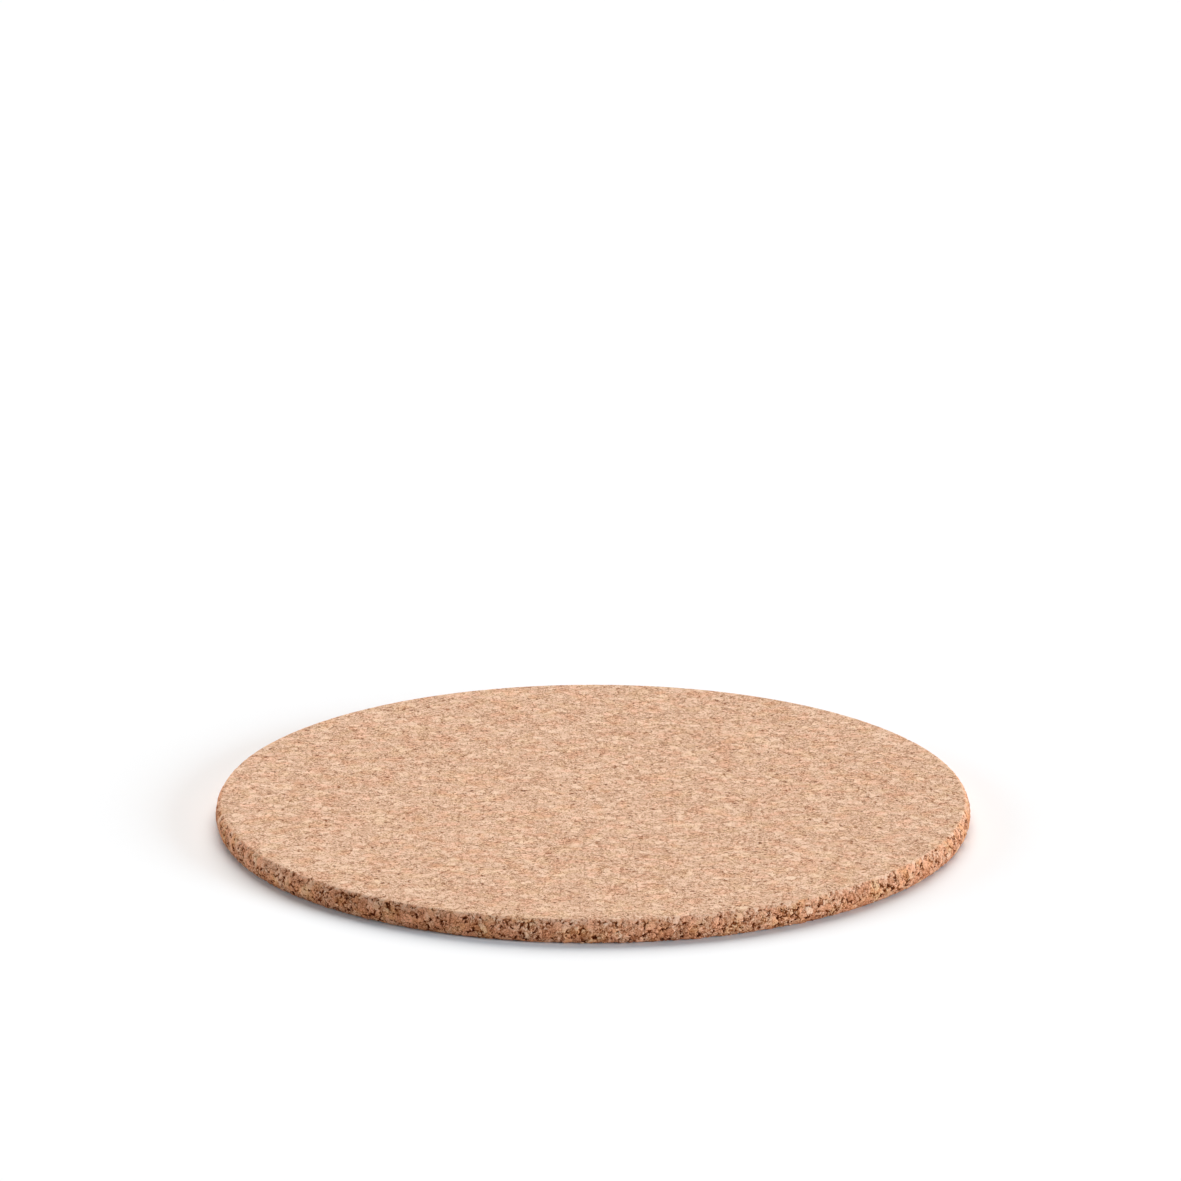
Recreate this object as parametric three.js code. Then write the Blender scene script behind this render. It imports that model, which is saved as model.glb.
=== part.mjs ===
// A round trivet: one disc of pressed cork granules, with two flat faces and a crowned rim.
// Millimetres, +Z up. The origin is the middle of the underside, where the disc lies on the table.

import * as THREE from "three";

// Driving dimensions
const DISC_DIAMETER = 300;
const DISC_THICKNESS = 10;
const RIM_BULGE = 2; // how far the middle of the rim stands out past the rim's upper and lower edges
const ARRIS_RADIUS = 1.5; // the sanded corner between the rim and each flat face

// Facets of the round surfaces
const TURN_STEPS = 144;
const CROWN_STEPS = 8;
const ARRIS_STEPS = 6;

// Finish of the sanded cork
const CORK_COLOUR = 0xd8b093;
const CORK_ROUGHNESS = 0.9;

const QUARTER_TURN = Math.PI / 2;

// Points along an arc in the section's plane, from one angle anticlockwise to another.
function arcPoints(centreX, centreY, radius, fromAngle, toAngle, steps) {
  return new THREE.ArcCurve(centreX, centreY, radius, fromAngle, toAngle, false).getPoints(steps);
}

// Half of the disc's section: x is the distance from the axis and y the height above the table.
// It runs from the middle of the underside, round the rim, to the middle of the top.
function discSection() {
  const discRadius = DISC_DIAMETER / 2;
  const midHeight = DISC_THICKNESS / 2;

  // The crown's arc passes through the rim's middle and meets both faces' planes RIM_BULGE further in.
  const crownRadius = (midHeight ** 2 + RIM_BULGE ** 2) / (2 * RIM_BULGE);
  const crownCentre = discRadius - crownRadius;

  // Each arris arc touches its face and the inside of the crown's arc, so the section has no corner.
  const arrisRise = midHeight - ARRIS_RADIUS;
  const arrisReach = Math.sqrt((crownRadius - ARRIS_RADIUS) ** 2 - arrisRise ** 2);
  const arrisCentre = crownCentre + arrisReach;
  const joinAngle = Math.atan2(arrisRise, arrisReach);

  const lowerArris = arcPoints(
    arrisCentre, ARRIS_RADIUS, ARRIS_RADIUS, -QUARTER_TURN, -joinAngle, ARRIS_STEPS,
  );
  const crown = arcPoints(crownCentre, midHeight, crownRadius, -joinAngle, joinAngle, CROWN_STEPS);
  const upperArris = arcPoints(
    arrisCentre, DISC_THICKNESS - ARRIS_RADIUS, ARRIS_RADIUS, joinAngle, QUARTER_TURN, ARRIS_STEPS,
  );

  // The crown's end points are already there as the ends of the two arris arcs.
  return [
    new THREE.Vector2(0, 0),
    ...lowerArris,
    ...crown.slice(1, -1),
    ...upperArris,
    new THREE.Vector2(0, DISC_THICKNESS),
  ];
}

// The disc: its section turned once round the axis, then stood up from +Y to +Z.
function corkDisc() {
  const geometry = new THREE.LatheGeometry(discSection(), TURN_STEPS);
  geometry.rotateX(QUARTER_TURN);
  const cork = new THREE.MeshStandardMaterial({
    color: CORK_COLOUR,
    roughness: CORK_ROUGHNESS,
    metalness: 0,
  });
  const disc = new THREE.Mesh(geometry, cork);
  disc.name = "cork_disc";
  return disc;
}

const trivet = new THREE.Group();
trivet.add(corkDisc());

export default trivet;
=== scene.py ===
"""The looks of a round trivet of pressed cork granules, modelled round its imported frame."""

import math
from types import SimpleNamespace

import bmesh
import bpy
from bpy.props import FloatProperty, FloatVectorProperty, PointerProperty
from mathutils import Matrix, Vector


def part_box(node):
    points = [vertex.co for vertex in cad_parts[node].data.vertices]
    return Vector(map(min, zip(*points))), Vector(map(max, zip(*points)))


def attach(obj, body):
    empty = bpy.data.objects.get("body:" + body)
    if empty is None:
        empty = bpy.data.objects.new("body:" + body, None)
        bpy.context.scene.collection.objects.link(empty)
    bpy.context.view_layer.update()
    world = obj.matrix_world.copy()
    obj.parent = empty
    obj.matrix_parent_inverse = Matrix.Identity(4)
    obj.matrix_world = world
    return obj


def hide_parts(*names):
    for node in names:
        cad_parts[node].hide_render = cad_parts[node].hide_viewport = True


bl_info = {
    "name": "Cork trivet",
    "version": (1, 0, 0),
    "blender": (4, 5, 0),
    "location": "3D View > Sidebar > Trivet",
    "description": "Models a trivet of pressed cork granules and sets it in plain studio light",
    "category": "Add Mesh",
}

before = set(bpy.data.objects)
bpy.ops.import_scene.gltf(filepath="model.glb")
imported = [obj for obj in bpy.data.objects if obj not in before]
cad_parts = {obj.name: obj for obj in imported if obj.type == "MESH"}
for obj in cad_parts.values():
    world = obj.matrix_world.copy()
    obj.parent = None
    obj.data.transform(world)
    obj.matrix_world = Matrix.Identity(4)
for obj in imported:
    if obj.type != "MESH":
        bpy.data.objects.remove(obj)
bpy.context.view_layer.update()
disc_low, disc_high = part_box("cork_disc")

MM = 0.001
DISC_RADIUS = (disc_high.x - disc_low.x) / 2
DISC_THICKNESS = disc_high.z - disc_low.z
WELD_DISTANCE = 0.001 * MM
PLACE_ATTRIBUTE = "granule_place"  # where a point of the surface lay before the relief moved it

# The picture and the stage, with the view's reach and the floor's side in metres
IMAGE_SIDE_PX = 1181
SENSOR_WIDTH_MM = 36.0
VIEW_REACH = 100.0
FLOOR_SIDE = 40.0
WHITE = (1.0, 1.0, 1.0, 1.0)

# The mean of a noise or a random number, and of a random vector
MEAN = 0.5
MEAN_VECTOR = (MEAN, MEAN, MEAN)

# The granules' outlines
DRIFT_SIZE = 1.6 * MM  # length of the waves that bend the outlines
DRIFT_REACH = 1.8 * MM  # how far the outlines move
WHOLE_SHARE = 0.45  # share of the large granules that aren't crumbled into small ones

# The torn rim's ragged border on the faces, and the sanded arris, as distances from the axis
RAGGED_SIZE = 3.0 * MM
RAGGED_REACH = 1.6 * MM
RAGGED_BY_GRANULE = 0.5  # share of that reach that a granule's own random number adds
UNDERSIDE_REACH = 3.0 * MM  # how much further in both run on the underside
RIM_FADE = (DISC_RADIUS - 1.0 * MM, DISC_RADIUS)
ARRIS_FADE = (DISC_RADIUS - 2.9 * MM, DISC_RADIUS - 2.1 * MM)

# Bands of the rim's height, as shares of the thickness: where each begins and where it is full
LOWER_HALF = (0.5, 0.0)
# Painted shade: the rim darker towards the table
PAINTED_SHADE_BAND = (0.55, 0.15)
PITTED_BAND = (0.65, 0.9)
BLUSH_BAND = (0.6, 0.9)
# Painted light: the rim's upper part paler, as if lit more from above
PAINTED_LIGHT_BAND = (0.70, 0.92)

# Openings between the granules: seams that stand open where the cork is loose, and round pits
LOOSE_SIZE = 1.9 * MM
LOOSE_LEVEL = 0.54  # looseness above which a seam opens
SEAM_OPENING = 2.2 * MM  # half the width of an open seam for each unit above that level
PIT_SPACING = 2.4 * MM
PIT_LEVEL = 0.3  # random number above which a pit opens
PIT_SIZE = 0.75 * MM  # radius of a pit for each unit above that level
PIT_GROWTH = 0.08 * MM  # how much larger the pits are high on the rim

# The rim's relief
LEAN_OFFSET = 0.12 * MM  # depth of a slanting granule at its middle
GROOVE_WIDTH = 0.5 * MM  # from a seam to the groove's edge
GROOVE_DEPTH = 0.08 * MM
VOID_SLOPE = (-0.20 * MM, 0.20 * MM)  # openings between which a void deepens

# Sizes of the material's patterns
CRUMB_SIZE = 0.75 * MM
GRAIN_SIZE = 0.38 * MM
BREAK_SIZE = 2.0 * MM
CRACK_SIZE = 1.7 * MM
CLUSTER_SIZE = 8.0 * MM
RED_PATCH_SIZE = 6.5 * MM
STRAW_PATCH_SIZE = 7.5 * MM

# The material's features: the values between which each one fades in
# Voids and pinholes are darkened in colour: partly the dark cork in them, partly painted shade in the
# holes
VOID_FADE = (-0.06 * MM, 0.10 * MM)
PINHOLE_FADE = (0.22 * MM, 0.34 * MM)
SEAM_FADE = (0.24 * MM, 0.02 * MM)
CRACK_FADE = (0.080, 0.030)
SEAMED_FADE = (0.45, 0.60)  # where the dark lines follow the seams
CRACKED_FADE = (0.46, 0.38)  # where they are cracks across the granules
SPECK_FADE = (0.38, 0.28)
PATCH_FADE = (0.46, 0.72)

# How much each feature lifts or lowers the tone, on the sanded faces and on the torn rim
# On the faces, arris is painted light that lifts the rounded corner
FACE = SimpleNamespace(
    tone=0.808, granule=0.11, mottle=0.464, line=0.20, void=0.06,
    pinhole=0.30, speck=0.30, cluster=0.03, arris=0.07,
)
# On the rim, pale is painted light on its upper part and low is painted shade towards the table
RIM = SimpleNamespace(tone=0.756, granule=0.24, mottle=0.88, line=0.22, void=0.42, pale=0.12, low=0.03)
WHOLE_MOTTLE = 0.8  # share of the mottle that a whole granule shows

# The tones of the void, bark, russet, tan and pale colours, and the tone that has no shade
TONE_STOPS = (0.12, 0.30, 0.50, 0.70, 0.90)
UNSHADED_TONE = 0.77

# How much of the two tints shows. What starts with rim is added on the torn rim
BLUSH = SimpleNamespace(
    base=0.33, shade=0.9, arris=0.30, granule=0.06, patch=0.22,
    rim=0.13, rim_band=0.12, rim_granule=0.34, rim_patch=0.30,
)
STRAW = SimpleNamespace(base=0.32, shade=0.5, arris=0.10, patch=0.22, rim_patch=0.33)

# The cork's fine bumps and its dull finish
BUMP = SimpleNamespace(strength=0.7, depth=0.25 * MM, grain=0.5, line=0.6)
CORK_ROUGHNESS = 0.9
CORK_SPECULAR = 0.05


class Socket:
    """An output socket. Arithmetic on it adds Math nodes, or Vector Math nodes where it holds a vector."""

    def __init__(self, nodes, socket):
        self.nodes = nodes
        self.socket = socket

    def beside(self, output):
        """Another output of the same node."""
        return Socket(self.nodes, pick(self.socket.node.outputs, output))

    def math(self, operation, *operands):
        """The result of an operation on the operands, of the kind that this socket holds."""
        is_vector = self.socket.type in {"VECTOR", "RGBA"}
        kind = "ShaderNodeVectorMath" if is_vector else "ShaderNodeMath"
        return self.nodes.add(kind, {"operation": operation}, dict(enumerate(operands)))

    def __add__(self, other):
        return self.math("ADD", self, other)

    def __radd__(self, other):
        return self.math("ADD", other, self)

    def __sub__(self, other):
        return self.math("SUBTRACT", self, other)

    def __rsub__(self, other):
        return self.math("SUBTRACT", other, self)

    def __mul__(self, other):
        return self.math("MULTIPLY", self, other)

    def __rmul__(self, other):
        return self.math("MULTIPLY", other, self)

    def __truediv__(self, other):
        return self.math("DIVIDE", self, other)

    def __pow__(self, other):
        return self.math("POWER", self, other)

    def __abs__(self):
        return self.math("ABSOLUTE", self)

    def least(self, other):
        """The smaller of two numbers."""
        return self.math("MINIMUM", self, other)

    def most(self, other):
        """The larger of two numbers."""
        return self.math("MAXIMUM", self, other)

    def above(self, limit):
        """1 where the value is over the limit, and 0 elsewhere."""
        return self.math("GREATER_THAN", self, limit)

    def ramp(self, start, end):
        """A smooth step: 0 at start, 1 at end. With start over end it falls."""
        settings = {"interpolation_type": "SMOOTHSTEP"}
        inputs = {"Value": self, "From Min": start, "From Max": end}
        return self.nodes.add("ShaderNodeMapRange", settings, inputs)

    def dot(self, other):
        """The product of two vectors as a number."""
        settings = {"operation": "DOT_PRODUCT"}
        return self.nodes.add("ShaderNodeVectorMath", settings, {0: self, 1: other}, "Value")

    def scaled(self, factor):
        """A vector made longer or shorter."""
        return self.nodes.add("ShaderNodeVectorMath", {"operation": "SCALE"}, {0: self, "Scale": factor})

    def parts(self):
        """The three numbers of a vector or colour."""
        x = self.nodes.add("ShaderNodeSeparateXYZ", {}, {0: self})
        return x, x.beside("Y"), x.beside("Z")


def pick(sockets, key):
    """A socket by its number, or the first one in use by its name."""
    if isinstance(key, int):
        return sockets[key]
    return next(s for s in sockets if s.name == key and s.enabled)


class Nodes:
    """A node tree, of a material, a world or a modifier."""

    def __init__(self, tree):
        self.tree = tree
        tree.nodes.clear()

    def add(self, kind, settings, inputs, output=0):
        """Adds a node, sets it, feeds its sockets with values or links, and gives one of its outputs."""
        node = self.tree.nodes.new(kind)
        for name, value in settings.items():
            if name == "stops":
                self.set_stops(node.color_ramp, value)
            else:
                setattr(node, name, value)
        for key, value in inputs.items():
            socket = pick(node.inputs, key)
            if isinstance(value, Socket):
                self.tree.links.new(value.socket, socket)
            else:
                socket.default_value = value
        return Socket(self, pick(node.outputs, output)) if node.outputs else None

    @staticmethod
    def set_stops(color_ramp, stops):
        """Gives a colour ramp its positions and colours."""
        elements = color_ramp.elements
        while len(elements) < len(stops):
            elements.new(1.0)
        for element, (position, colour) in zip(elements, stops):
            element.position = position
            element.color = (*colour, 1.0)

    def noise(self, place, size, detail=2.0, roughness=0.5, output="Fac"):
        """A soft random pattern with waves of the given size."""
        inputs = {"Vector": place, "Scale": 1.0 / size, "Detail": detail, "Roughness": roughness}
        return self.add("ShaderNodeTexNoise", {}, inputs, output)

    def cells(self, place, size, feature, output):
        """A pattern of irregular cells of the given size."""
        inputs = {"Vector": place, "Scale": 1.0 / size}
        return self.add("ShaderNodeTexVoronoi", {"feature": feature}, inputs, output)

    def mix(self, data_type, factor, a, b, blend_type="MIX"):
        """From a, where the factor is 0, to b, where it is 1."""
        settings = {"data_type": data_type, "blend_type": blend_type}
        return self.add("ShaderNodeMix", settings, {"Factor": factor, "A": a, "B": b}, "Result")


class CorkSettings(bpy.types.PropertyGroup):
    """Sizes and colours of the pressed cork disc."""

    rim_bulge: FloatProperty(
        name="Rim bulge",
        description="How far the middle of the rim stands out past its upper and lower edges",
        default=2.0 * MM,
        unit="LENGTH",
    )
    arris_radius: FloatProperty(
        name="Arris radius",
        description="Radius of the sanded corner between the rim and each face",
        default=1.5 * MM,
        unit="LENGTH",
    )
    facet: FloatProperty(
        name="Facet",
        description="Size of the mesh's facets on the rim, about square",
        default=0.42 * MM,
        unit="LENGTH",
    )
    high_band: FloatProperty(
        name="High band",
        description="Width of the top's border that is meshed as finely as the rim",
        default=2.5 * MM,
        unit="LENGTH",
    )
    low_band: FloatProperty(
        name="Low band",
        description="Width of the underside's border that is meshed as finely as the rim",
        default=1.0 * MM,
        unit="LENGTH",
    )
    large_granule: FloatProperty(
        name="Large granule",
        description="Size of the large cork granules",
        default=3.2 * MM,
        unit="LENGTH",
    )
    small_granule: FloatProperty(
        name="Small granule",
        description="Size of the small granules pressed in between",
        default=1.3 * MM,
        unit="LENGTH",
    )
    void_depth: FloatProperty(
        name="Void depth",
        description="Depth of the holes between granules on the cut rim",
        default=0.40 * MM,
        unit="LENGTH",
    )
    step_depth: FloatProperty(
        name="Granule step",
        description="How far the deepest torn granule lies behind its neighbours on the rim",
        default=0.12 * MM,
        unit="LENGTH",
    )
    granule_lean: FloatProperty(
        name="Granule lean",
        description="Slope of the torn granules' faces against the rim's surface",
        default=0.35,
    )
    # The void's colour is partly the dark cork inside a hole and partly painted shade in it
    void_colour: FloatVectorProperty(
        name="Void",
        description="The bottom of a hole between granules",
        default=(0.060, 0.0136, 0.0025),
        subtype="COLOR",
    )
    bark_colour: FloatVectorProperty(
        name="Bark brown",
        description="The darkest granules and seams",
        default=(0.172, 0.059, 0.020),
        subtype="COLOR",
    )
    russet_colour: FloatVectorProperty(
        name="Russet",
        description="The darker granules",
        default=(0.362, 0.191, 0.107),
        subtype="COLOR",
    )
    tan_colour: FloatVectorProperty(
        name="Tan",
        description="The common granules",
        default=(0.668, 0.460, 0.340),
        subtype="COLOR",
    )
    pale_colour: FloatVectorProperty(
        name="Pale",
        description="The lightest granules",
        default=(0.960, 0.762, 0.620),
        subtype="COLOR",
    )
    blush_tint: FloatVectorProperty(
        name="Blush",
        description="Tint of the reddest granules, and in part of all the cork, most on the torn rim",
        default=(1.00, 0.62, 0.50),
        subtype="COLOR",
    )
    straw_tint: FloatVectorProperty(
        name="Straw",
        description="Tint of the yellowest granules, and in part of all the cork",
        default=(1.00, 1.00, 0.75),
        subtype="COLOR",
    )


class StageSettings(bpy.types.PropertyGroup):
    """The camera's place and the studio's light. Azimuths turn anticlockwise from the right."""

    camera_distance: FloatProperty(
        name="Camera distance",
        description="From the camera to the point it looks at",
        default=4.0,
        unit="LENGTH",
    )
    camera_elevation: FloatProperty(
        name="Camera elevation",
        description="Angle of the view below the horizon",
        default=math.radians(17.18),
        unit="ROTATION",
    )
    aim_height: FloatProperty(
        name="Aim height",
        description="Height of the point the camera looks at",
        default=0.09616,
        unit="LENGTH",
    )
    aim_side: FloatProperty(
        name="Aim side",
        description="How far that point lies to the right of the disc's axis",
        default=-0.00105,
        unit="LENGTH",
    )
    pixels_per_metre: FloatProperty(
        name="Pixels per metre",
        description="Scale of the picture at that point",
        default=2533.1,
    )
    floor_colour: FloatVectorProperty(
        name="Floor",
        description="Colour of the light that the floor throws back. Seen directly, the floor is white",
        default=(0.97, 0.89, 0.82),
        subtype="COLOR",
    )
    sky_strength: FloatProperty(
        name="Sky strength",
        description="Level of the light from all round",
        default=0.09,
    )
    sky_tint: FloatVectorProperty(
        name="Sky tint",
        description="Colour of the light from all round. Seen directly, the backdrop is white",
        default=(0.96, 0.98, 1.03),
        subtype="COLOR",
    )
    key_place: FloatVectorProperty(
        name="Key place",
        description="Azimuth and elevation of the low key lamp, at the right and a little in front",
        default=(math.radians(-25.0), math.radians(13.0)),
        size=2,
        unit="ROTATION",
    )
    key_spread: FloatProperty(
        name="Key spread",
        description="How wide the key lamp looks from the disc",
        default=math.radians(26.0),
        unit="ROTATION",
    )
    key_strength: FloatProperty(
        name="Key strength",
        description="Strength of the key lamp",
        default=2.42,
    )
    key_tint: FloatVectorProperty(
        name="Key tint",
        description="Colour of the key lamp",
        default=(0.82, 1.0, 1.14),
        subtype="COLOR",
    )
    back_place: FloatVectorProperty(
        name="Back place",
        description="Azimuth and elevation of the broad lamp behind, which casts the shadow in front",
        default=(math.radians(84.0), math.radians(45.0)),
        size=2,
        unit="ROTATION",
    )
    back_spread: FloatProperty(
        name="Back spread",
        description="How wide the back lamp looks from the disc",
        default=math.radians(54.0),
        unit="ROTATION",
    )
    back_strength: FloatProperty(
        name="Back strength",
        description="Strength of the back lamp",
        default=3.02,
    )
    back_tint: FloatVectorProperty(
        name="Back tint",
        description="Colour of the back lamp",
        default=(1.07, 1.0, 0.95),
        subtype="COLOR",
    )
    fill_place: FloatVectorProperty(
        name="Fill place",
        description="Azimuth and elevation of the weak low lamp straight at the left",
        default=(math.radians(178.0), math.radians(16.0)),
        size=2,
        unit="ROTATION",
    )
    fill_spread: FloatProperty(
        name="Fill spread",
        description="How wide the fill lamp looks from the disc",
        default=math.radians(30.0),
        unit="ROTATION",
    )
    fill_strength: FloatProperty(
        name="Fill strength",
        description="Strength of the fill lamp",
        default=0.99,
    )
    fill_tint: FloatVectorProperty(
        name="Fill tint",
        description="Colour of the fill lamp",
        default=(0.76, 1.0, 1.15),
        subtype="COLOR",
    )


def arc_points(centre, radius, start, end, facet):
    """Points of the section along an arc, about a facet apart, after the one the arc starts from."""
    steps = math.ceil((end - start) * radius / facet)
    turns = [start + (end - start) * step / steps for step in range(1, steps + 1)]
    return [centre + radius * Vector((math.cos(turn), math.sin(turn))) for turn in turns]


def line_points(start, end, facet):
    """Points of the section along a line, about a facet apart, after the one the line starts from."""
    steps = math.ceil((end - start).length / facet)
    return [start.lerp(end, step / steps) for step in range(1, steps + 1)]


def disc_section(sizes):
    """Half of the disc's section, as distances from the axis and heights, from underside to top."""
    middle = DISC_THICKNESS / 2
    crown_radius = (middle ** 2 + sizes.rim_bulge ** 2) / (2 * sizes.rim_bulge)
    crown_centre = DISC_RADIUS - crown_radius
    arris_rise = middle - sizes.arris_radius
    arris_reach = math.sqrt((crown_radius - sizes.arris_radius) ** 2 - arris_rise ** 2)
    arris_centre = crown_centre + arris_reach
    join = math.atan2(arris_rise, arris_reach)

    low_corner = Vector((arris_centre, 0.0))
    high_corner = Vector((arris_centre, DISC_THICKNESS))
    low_start = low_corner - Vector((sizes.low_band, 0.0))
    high_end = high_corner - Vector((sizes.high_band, 0.0))
    low_arris = low_corner + Vector((0.0, sizes.arris_radius))
    high_arris = high_corner - Vector((0.0, sizes.arris_radius))
    crown_middle = Vector((crown_centre, middle))
    quarter = math.pi / 2
    return [
        low_start,
        *line_points(low_start, low_corner, sizes.facet),
        *arc_points(low_arris, sizes.arris_radius, -quarter, -join, sizes.facet),
        *arc_points(crown_middle, crown_radius, -join, join, sizes.facet),
        *arc_points(high_arris, sizes.arris_radius, join, quarter, sizes.facet),
        *line_points(high_corner, high_end, sizes.facet),
    ]


def disc_mesh(sizes):
    """The disc's smooth surface: a ring led round the rim's section, with a flat face at each end."""
    section = disc_section(sizes)
    turn_steps = round(math.tau * DISC_RADIUS / sizes.facet)

    bm = bmesh.new()
    bmesh.ops.create_circle(bm, cap_ends=True, segments=turn_steps, radius=section[0].x)
    ring = bm.edges[:]
    for last, point in zip(section, section[1:]):
        grown = bmesh.ops.extrude_edge_only(bm, edges=ring)["geom"]
        ring = [item for item in grown if isinstance(item, bmesh.types.BMEdge)]
        corners = [item for item in grown if isinstance(item, bmesh.types.BMVert)]
        widening = point.x / last.x
        bmesh.ops.scale(bm, verts=corners, vec=(widening, widening, 1.0))
        bmesh.ops.translate(bm, verts=corners, vec=(0.0, 0.0, point.y - last.y))
    bmesh.ops.edgeloop_fill(bm, edges=ring)
    bmesh.ops.remove_doubles(bm, verts=bm.verts, dist=WELD_DISTANCE)
    bmesh.ops.recalc_face_normals(bm, faces=bm.faces)
    for face in bm.faces:
        face.smooth = True
    mesh = bpy.data.meshes.new("pressed_cork_disc")
    bm.to_mesh(mesh)
    bm.free()
    return mesh


def granule_layer(nodes, place, size):
    """Granules of one size: their random numbers, their middles and the distance to their seams."""
    identity = nodes.cells(place, size, "F1", "Color")
    seam = nodes.cells(place, size, "DISTANCE_TO_EDGE", "Distance") * size
    return SimpleNamespace(identity=identity, middle=identity.beside("Position"), seam=seam)


def openings(nodes, place, moved, seam, height):
    """How far a place lies inside a void between granules. Outside the voids it is below zero."""
    loose = nodes.noise(place, LOOSE_SIZE, detail=1.0)
    open_seam = (loose - LOOSE_LEVEL) * SEAM_OPENING - seam
    pits = nodes.cells(moved, PIT_SPACING, "F1", "Color")
    pit_size = (pits.parts()[0] - PIT_LEVEL) * PIT_SIZE + height.ramp(*PITTED_BAND) * PIT_GROWTH
    pit = pit_size - pits.beside("Distance") * PIT_SPACING
    return pit.most(open_seam)


def granules(nodes, place, sizes):
    """The cork at a place in the disc. The relief and the colour are both made from it.

    identity  three random numbers of the granule
    crumbled  1 among small granules, 0 in a whole large one
    lean      how far the granule's slanting face is from the rim's surface, at a slope of 1
    seam      distance to the nearest seam
    opening   how far the place lies inside a void
    rim       1 on the torn rim, 0 on the sanded faces
    arris     1 past the start of the arris
    height    height above the table as a share of the thickness
    """
    drift = nodes.noise(place, DRIFT_SIZE, output="Color") - MEAN_VECTOR
    moved = place + drift.scaled(DRIFT_REACH)
    large = granule_layer(nodes, moved, sizes.large_granule)
    small = granule_layer(nodes, moved, sizes.small_granule)
    crumbled = large.identity.parts()[2].above(WHOLE_SHARE)
    identity = nodes.mix("VECTOR", crumbled, large.identity, small.identity)
    middle = nodes.mix("VECTOR", crumbled, large.middle, small.middle)
    lean = (moved - middle).dot(identity - MEAN_VECTOR)
    # In a whole granule the small seams are put a metre off, which leaves them out.
    seam = large.seam.least(small.seam + (1.0 - crumbled))

    x, y, z = place.parts()
    height = z / DISC_THICKNESS
    ragged = nodes.noise(place, RAGGED_SIZE) + identity.parts()[1] * RAGGED_BY_GRANULE
    reach = (x * x + y * y) ** 0.5 + height.ramp(*LOWER_HALF) * UNDERSIDE_REACH
    return SimpleNamespace(
        identity=identity,
        crumbled=crumbled,
        lean=lean,
        seam=seam,
        opening=openings(nodes, place, moved, seam, height),
        rim=(reach + ragged * RAGGED_REACH).ramp(*RIM_FADE),
        arris=reach.ramp(*ARRIS_FADE),
        height=height,
    )


def relief_group(sizes):
    """The modifier's node group that sinks seams, torn granules and voids into the disc's surface."""
    tree = bpy.data.node_groups.new("Granule relief", "GeometryNodeTree")
    tree.interface.new_socket("Geometry", in_out="INPUT", socket_type="NodeSocketGeometry")
    tree.interface.new_socket("Geometry", in_out="OUTPUT", socket_type="NodeSocketGeometry")
    nodes = Nodes(tree)
    surface = nodes.add("NodeGroupInput", {}, {}, "Geometry")
    place = nodes.add("GeometryNodeInputPosition", {}, {})
    normal = nodes.add("GeometryNodeInputNormal", {}, {})
    cork = granules(nodes, place, sizes)

    step = cork.identity.parts()[2] * sizes.step_depth
    slant = (cork.lean * sizes.granule_lean + LEAN_OFFSET).most(0.0)
    groove = cork.seam.ramp(GROOVE_WIDTH, 0.0) * GROOVE_DEPTH
    void = cork.opening.ramp(*VOID_SLOPE) * sizes.void_depth
    sunk = cork.rim * (step + slant + groove + void)
    kept = nodes.add(
        "GeometryNodeStoreNamedAttribute",
        {"data_type": "FLOAT_VECTOR", "domain": "POINT"},
        {"Geometry": surface, "Name": PLACE_ATTRIBUTE, "Value": place},
    )
    carved = nodes.add(
        "GeometryNodeSetPosition",
        {},
        {"Geometry": kept, "Offset": normal.scaled(0.0 - sunk)},
    )
    nodes.add("NodeGroupOutput", {}, {"Geometry": carved})
    return tree


def fine_detail(nodes, place, cork):
    """What lies on the granules of faces and rim: crumbs, grain, their mottle, dark lines and voids."""
    crumbs = nodes.noise(place, CRUMB_SIZE, detail=3.0, roughness=0.65)
    grain = nodes.noise(place, GRAIN_SIZE, roughness=0.6)
    mottle = (crumbs - MEAN) + (grain - MEAN)
    broken = nodes.noise(place, BREAK_SIZE, detail=1.0)
    seam_line = cork.seam.ramp(*SEAM_FADE) * broken.ramp(*SEAMED_FADE)
    wander = nodes.noise(place, CRACK_SIZE) - MEAN
    crack = abs(wander).ramp(*CRACK_FADE) * broken.ramp(*CRACKED_FADE)
    return SimpleNamespace(
        crumbs=crumbs,
        grain=grain,
        mottle=mottle * (WHOLE_MOTTLE + cork.crumbled * (1.0 - WHOLE_MOTTLE)),
        line=seam_line.most(crack),
        void=cork.opening.ramp(*VOID_FADE),
    )


def cork_tone(nodes, place, cork, detail):
    """How light the cork is, from the void's tone to the palest granule's, with painted light and shade on
    the rim, the arris and in the voids.
    """
    own_tone = cork.identity.parts()[0] - MEAN
    face = FACE.tone + own_tone * FACE.granule + detail.mottle * FACE.mottle
    # Voids and pinholes darkened: partly the dark cork in them, partly painted shade in the holes
    face -= detail.line * FACE.line + detail.void * FACE.void
    face -= detail.crumbs.ramp(*SPECK_FADE) * FACE.speck
    face -= cork.opening.ramp(*PINHOLE_FADE) * FACE.pinhole
    face += (nodes.noise(place, CLUSTER_SIZE, detail=1.0) - MEAN) * FACE.cluster
    # Painted light: the rounded corner is made paler so that it looks as bright as the face where it turns
    # from the light
    face += cork.arris * FACE.arris

    rim = RIM.tone + own_tone * RIM.granule + detail.mottle * RIM.mottle
    # The voids darkened: partly the dark cork in them, partly painted shade in the holes
    rim -= detail.line * RIM.line + detail.void * RIM.void
    # Painted light makes the rim's upper part paler, and painted shade makes it darker towards the table
    rim += cork.height.ramp(*PAINTED_LIGHT_BAND) * RIM.pale - cork.height.ramp(*PAINTED_SHADE_BAND) * RIM.low
    return nodes.mix("FLOAT", cork.rim, face, rim)


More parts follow.
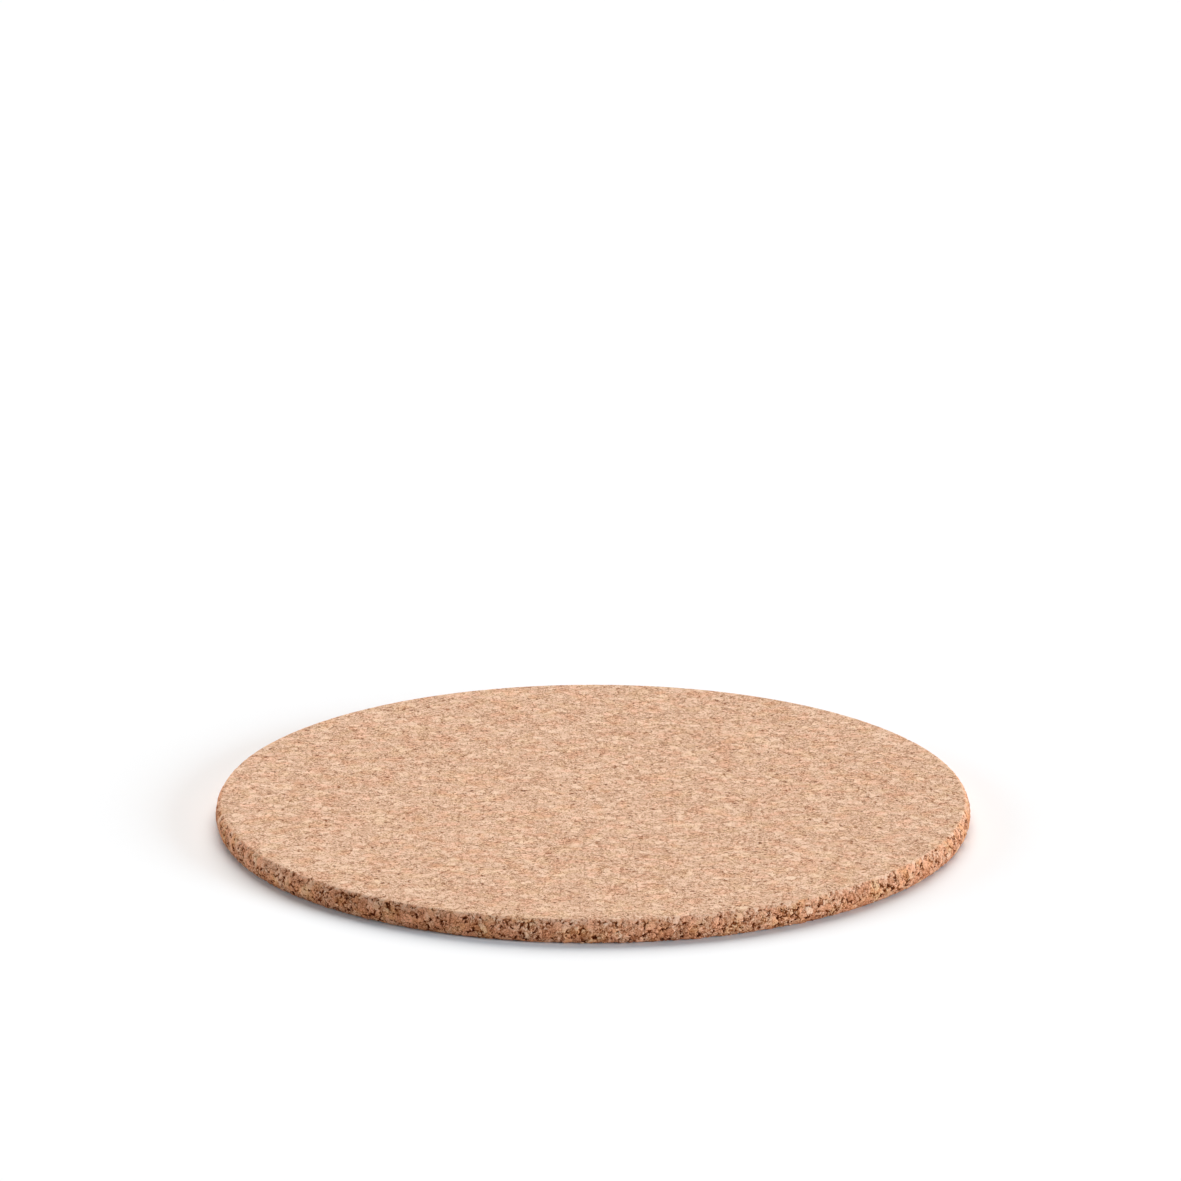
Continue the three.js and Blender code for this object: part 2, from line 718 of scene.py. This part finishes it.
def cork_colour(nodes, place, cork, tone, colours):
    """The colour of a tone, with redder and yellower granules and patches."""
    own_colours = (
        colours.void_colour,
        colours.bark_colour,
        colours.russet_colour,
        colours.tan_colour,
        colours.pale_colour,
    )
    stops = list(zip(TONE_STOPS, own_colours))
    plain = nodes.add("ShaderNodeValToRGB", {"stops": stops}, {"Fac": tone})

    shade = UNSHADED_TONE - tone
    own_hue = cork.identity.parts()[1] - MEAN
    red_patch = nodes.noise(place, RED_PATCH_SIZE, detail=1.0).ramp(*PATCH_FADE)
    blush = BLUSH.base + shade * BLUSH.shade + cork.arris * BLUSH.arris
    blush += own_hue * (BLUSH.granule + cork.rim * BLUSH.rim_granule)
    blush += red_patch * (BLUSH.patch + cork.rim * BLUSH.rim_patch)
    blush += cork.rim * (BLUSH.rim + cork.height.ramp(*BLUSH_BAND) * BLUSH.rim_band)

    straw_patch = nodes.noise(place, STRAW_PATCH_SIZE, detail=1.0).ramp(*PATCH_FADE)
    straw = STRAW.base + shade * STRAW.shade + cork.arris * STRAW.arris
    straw += straw_patch * (STRAW.patch + cork.rim * STRAW.rim_patch)

    reddened = nodes.mix("RGBA", blush, plain, (*colours.blush_tint, 1.0), "MULTIPLY")
    return nodes.mix("RGBA", straw, reddened, (*colours.straw_tint, 1.0), "MULTIPLY")


def cork_material(settings):
    """Pressed cork: granules of several tones, dark seams and voids, sanded paler on the flat faces."""
    material = bpy.data.materials.new("pressed_cork")
    material.use_nodes = True
    nodes = Nodes(material.node_tree)
    place = nodes.add("ShaderNodeAttribute", {"attribute_name": PLACE_ATTRIBUTE}, {}, "Vector")
    cork = granules(nodes, place, settings)
    detail = fine_detail(nodes, place, cork)
    tone = cork_tone(nodes, place, cork, detail)
    colour = cork_colour(nodes, place, cork, tone, settings)

    height = detail.crumbs + detail.grain * BUMP.grain - detail.line * BUMP.line - detail.void
    bump = nodes.add(
        "ShaderNodeBump",
        {},
        {"Strength": BUMP.strength, "Distance": BUMP.depth, "Height": height},
    )
    finish = {"Roughness": CORK_ROUGHNESS, "Specular IOR Level": CORK_SPECULAR}
    shader = nodes.add(
        "ShaderNodeBsdfPrincipled",
        {},
        {"Base Color": colour, "Normal": bump, **finish},
    )
    nodes.add("ShaderNodeOutputMaterial", {}, {"Surface": shader})
    return material


def link_object(name, data):
    """A new object in the scene."""
    made = bpy.data.objects.new(name, data)
    bpy.context.scene.collection.objects.link(made)
    return made


class TRIVET_OT_make_disc(bpy.types.Operator):
    """Model the pressed cork disc with its granular rim"""

    bl_idname = "trivet.make_disc"
    bl_label = "Make cork disc"

    def execute(self, context):
        settings = context.scene.trivet_cork
        disc = link_object("pressed_cork_disc", disc_mesh(settings))
        relief = disc.modifiers.new("Granule relief", "NODES")
        relief.node_group = relief_group(settings)
        depsgraph = context.evaluated_depsgraph_get()
        carved = bpy.data.meshes.new_from_object(disc.evaluated_get(depsgraph), depsgraph=depsgraph)
        disc.modifiers.clear()
        disc.data = carved
        carved.materials.clear()
        carved.materials.append(cork_material(settings))
        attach(disc, "root")
        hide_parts("cork_disc")
        return {"FINISHED"}


def seen_directly(nodes):
    """1 for what is seen itself, in a mirror or through glass, and 0 for light on other surfaces."""
    camera = nodes.add("ShaderNodeLightPath", {}, {}, "Is Camera Ray")
    return camera.most(camera.beside("Is Glossy Ray")).most(camera.beside("Is Transmission Ray"))


def make_world(settings):
    """A backdrop that looks white and gives only a weak light from all round."""
    world = bpy.data.worlds.new("studio")
    world.use_nodes = True
    nodes = Nodes(world.node_tree)
    sky = {"Color": (*settings.sky_tint, 1.0), "Strength": settings.sky_strength}
    light = nodes.add("ShaderNodeBackground", {}, sky)
    backdrop = nodes.add("ShaderNodeBackground", {}, {"Color": WHITE, "Strength": 1.0})
    shown = nodes.add("ShaderNodeMixShader", {}, {0: seen_directly(nodes), 1: light, 2: backdrop})
    nodes.add("ShaderNodeOutputWorld", {}, {"Surface": shown})
    return world


def floor_material(settings):
    """Paper that looks white and throws back the floor's colour."""
    material = bpy.data.materials.new("floor_paper")
    material.use_nodes = True
    nodes = Nodes(material.node_tree)
    colour = nodes.mix("RGBA", seen_directly(nodes), (*settings.floor_colour, 1.0), WHITE)
    paper = nodes.add("ShaderNodeBsdfDiffuse", {}, {"Color": colour})
    nodes.add("ShaderNodeOutputMaterial", {}, {"Surface": paper})
    return material


def make_floor(settings):
    """A flat floor that reaches far past the picture."""
    bm = bmesh.new()
    bmesh.ops.create_grid(bm, x_segments=1, y_segments=1, size=FLOOR_SIDE / 2)
    mesh = bpy.data.meshes.new("floor")
    bm.to_mesh(mesh)
    bm.free()
    mesh.materials.append(floor_material(settings))
    floor = link_object("floor", mesh)


def make_lamp(name, place, spread, strength, tint):
    """A broad soft lamp, so far off that it lights the floor evenly."""
    lamp = bpy.data.lights.new(name, "SUN")
    lamp.angle = spread
    lamp.energy = strength
    lamp.color = tint
    azimuth, elevation = place
    flat = math.cos(elevation)
    away = Vector((flat * math.cos(azimuth), flat * math.sin(azimuth), math.sin(elevation)))
    made = link_object(name, lamp)
    made.location = away
    made.rotation_euler = away.to_track_quat("Z", "Y").to_euler()


def make_camera(settings):
    """The camera, in front of the disc and above it."""
    camera = bpy.data.cameras.new("camera")
    camera.sensor_width = SENSOR_WIDTH_MM
    focal_px = settings.pixels_per_metre * settings.camera_distance
    camera.lens = SENSOR_WIDTH_MM * focal_px / IMAGE_SIDE_PX
    camera.clip_end = VIEW_REACH
    made = link_object("camera", camera)
    back = settings.camera_distance * math.cos(settings.camera_elevation)
    rise = settings.camera_distance * math.sin(settings.camera_elevation)
    made.location = (settings.aim_side, -back, settings.aim_height + rise)
    made.rotation_euler = (math.pi / 2 - settings.camera_elevation, 0, 0)
    return made


class TRIVET_OT_make_stage(bpy.types.Operator):
    """Lay the pale floor, hang the soft lamps and set up the camera"""

    bl_idname = "trivet.make_stage"
    bl_label = "Make stage"

    def execute(self, context):
        stage = context.scene.trivet_stage
        context.scene.view_settings.view_transform = "Standard"
        context.scene.world = make_world(stage)
        make_floor(stage)
        make_lamp("key_lamp", stage.key_place, stage.key_spread, stage.key_strength, stage.key_tint)
        make_lamp("back_lamp", stage.back_place, stage.back_spread, stage.back_strength, stage.back_tint)
        make_lamp("fill_lamp", stage.fill_place, stage.fill_spread, stage.fill_strength, stage.fill_tint)
        context.scene.camera = make_camera(stage)
        return {"FINISHED"}


class TRIVET_PT_panel(bpy.types.Panel):
    """Sizes and colours of the trivet, and the operators that make it"""

    bl_label = "Cork trivet"
    bl_idname = "TRIVET_PT_panel"
    bl_space_type = "VIEW_3D"
    bl_region_type = "UI"
    bl_category = "Trivet"

    def draw(self, context):
        layout = self.layout
        for settings, operator in (
            (context.scene.trivet_cork, TRIVET_OT_make_disc),
            (context.scene.trivet_stage, TRIVET_OT_make_stage),
        ):
            box = layout.box()
            for name in settings.__annotations__:
                box.prop(settings, name)
            box.operator(operator.bl_idname)


CLASSES = (
    CorkSettings,
    StageSettings,
    TRIVET_OT_make_disc,
    TRIVET_OT_make_stage,
    TRIVET_PT_panel,
)


def register():
    for cls in CLASSES:
        bpy.utils.register_class(cls)
    bpy.types.Scene.trivet_cork = PointerProperty(type=CorkSettings)
    bpy.types.Scene.trivet_stage = PointerProperty(type=StageSettings)


def unregister():
    del bpy.types.Scene.trivet_stage
    del bpy.types.Scene.trivet_cork
    for cls in reversed(CLASSES):
        bpy.utils.unregister_class(cls)


def main():
    register()
    bpy.ops.trivet.make_disc()
    bpy.ops.trivet.make_stage()


if __name__ == "__main__":
    main()
